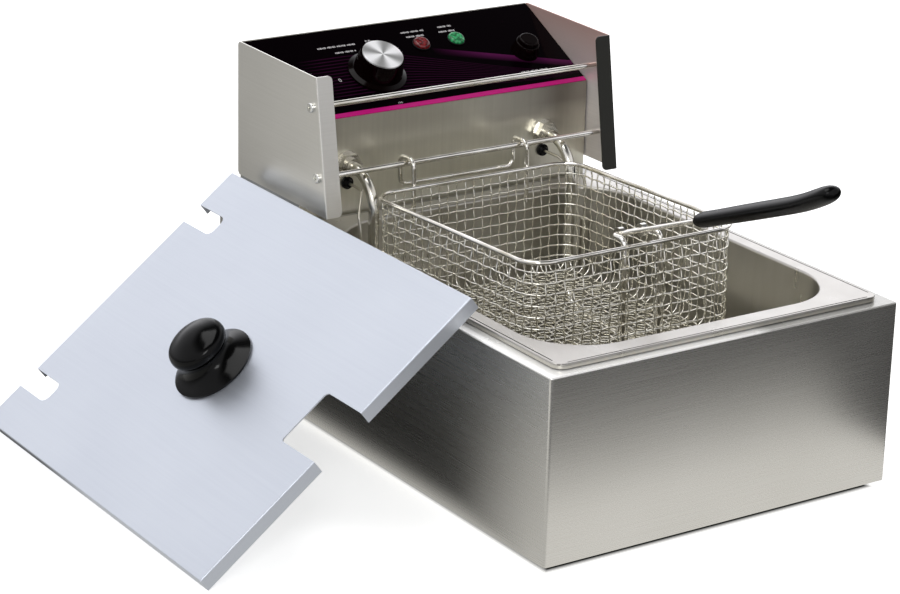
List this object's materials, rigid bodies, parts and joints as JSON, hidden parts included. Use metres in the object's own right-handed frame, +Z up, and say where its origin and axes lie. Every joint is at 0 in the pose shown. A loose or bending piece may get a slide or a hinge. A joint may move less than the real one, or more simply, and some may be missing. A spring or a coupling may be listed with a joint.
{
  "type": "deep fryer",
  "caption": "Counter-top electric deep fryer: steel casing with oil pan, lift-off control head with element, hanging wire basket, folding handle and leaning lid.",
  "frame": {"origin": "bottom centre of the whole object's box, lid and handle included, on the table", "axes": "+Z up, -Y towards the user (the handle), +X to the user's right"},
  "size_m": [0.4828, 0.5186, 0.2604],
  "materials": {
    "brushed_casing": "fine brushed stainless sheet",
    "galvanised_plate": "plain galvanised sheet",
    "foot_rubber": "matt black rubber",
    "plated_screws": "bright zinc plate",
    "drawn_pan": "deep-drawn stainless, satin",
    "satin_cover": "satin stainless sheet",
    "panel_film": "glossy printed film",
    "stripe_ink": "glossy magenta film",
    "black_nylon": "moulded nylon",
    "bright_wire": "electropolished stainless wire",
    "woven_wire": "woven stainless wire mesh",
    "element_sheath": "annealed stainless sheath",
    "nickel_brass": "nickel-plated brass",
    "capillary_pipe": "tinned capillary pipe",
    "phenolic": "moulded phenolic",
    "red_lens": "transparent red moulding",
    "green_lens": "transparent green moulding",
    "black_gloss": "polished phenolic",
    "spun_aluminium": "spun, circular grain",
    "grip_plastic": "moulded heat-proof plastic",
    "lid_steel": "pale satin stainless sheet"
  },
  "bodies": {
    "case": {"outer_casing": "brushed_casing", "casing_base_plate": "galvanised_plate", "rubber_feet": "foot_rubber", "foot_screws": "plated_screws", "oil_pan": "drawn_pan"},
    "head": {"head_side_left": "brushed_casing", "head_side_right": "brushed_casing", "side_screws": "plated_screws", "head_cover": "satin_cover", "control_panel": "panel_film", "panel_stripe": "stripe_ink", "head_tray": "galvanised_plate", "head_back_cover": "satin_cover", "back_screws": "plated_screws", "cord_gland": "black_nylon", "upper_rod": "bright_wire", "lower_rod": "bright_wire", "heating_element": "element_sheath", "gland_nuts": "nickel_brass", "element_terminals": "plated_screws", "capillary_grommets": "black_nylon", "capillaries": "capillary_pipe", "sensor_bulbs": "capillary_pipe", "thermostat": "phenolic", "heating_lamp": "red_lens", "power_lamp": "green_lens", "lamp_bezels": "black_nylon", "reset_collar": "black_gloss", "overheat_cutout": "phenolic", "terminal_block": "phenolic", "interlock_switch": "phenolic"},
    "knob": {"control_knob": "black_gloss", "knob_cap": "spun_aluminium", "knob_shaft": "plated_screws"},
    "reset": {"reset_button": "black_gloss"},
    "basket": {"basket_rim": "bright_wire", "basket_tub": "woven_wire", "basket_hook": "bright_wire", "handle_bracket": "bright_wire"},
    "handle": {"handle_wires": "bright_wire", "handle_grip": "grip_plastic"},
    "lid": {"lid_sheet": "lid_steel", "lid_knob": "black_gloss", "lid_screw": "plated_screws"}
  },
  "joints": [
    {"name": "head_lift", "type": "slide", "parent": "case", "child": "head", "axis": [0, 0, 1], "range_m": [0, 0.15]},
    {"name": "knob_turn", "type": "hinge", "parent": "head", "child": "knob", "pos_m": [0.05972, 0.19791, 0.22795], "axis": [0, -0.4459, 0.8951], "range_deg": [-270, 0]},
    {"name": "reset_press", "type": "slide", "parent": "head", "child": "reset", "axis": [0, 0.4459, -0.8951], "range_m": [0, 0.003], "stiffness_N_per_m": 400, "springref_m": -0.002},
    {"name": "basket_lift", "type": "slide", "parent": "head", "child": "basket", "axis": [0, 0, 1], "range_m": [0, 0.036]},
    {"name": "handle_fold", "type": "hinge", "parent": "basket", "child": "handle", "pos_m": [0.10172, -0.05827, 0.17428], "axis": [-1, 0, 0], "range_deg": [0, 100]},
    {"name": "lid_lift", "type": "slide", "parent": "case", "child": "lid", "axis": [-0.6095, 0, 0.7928], "range_m": [0, 0.15]}
  ]
}
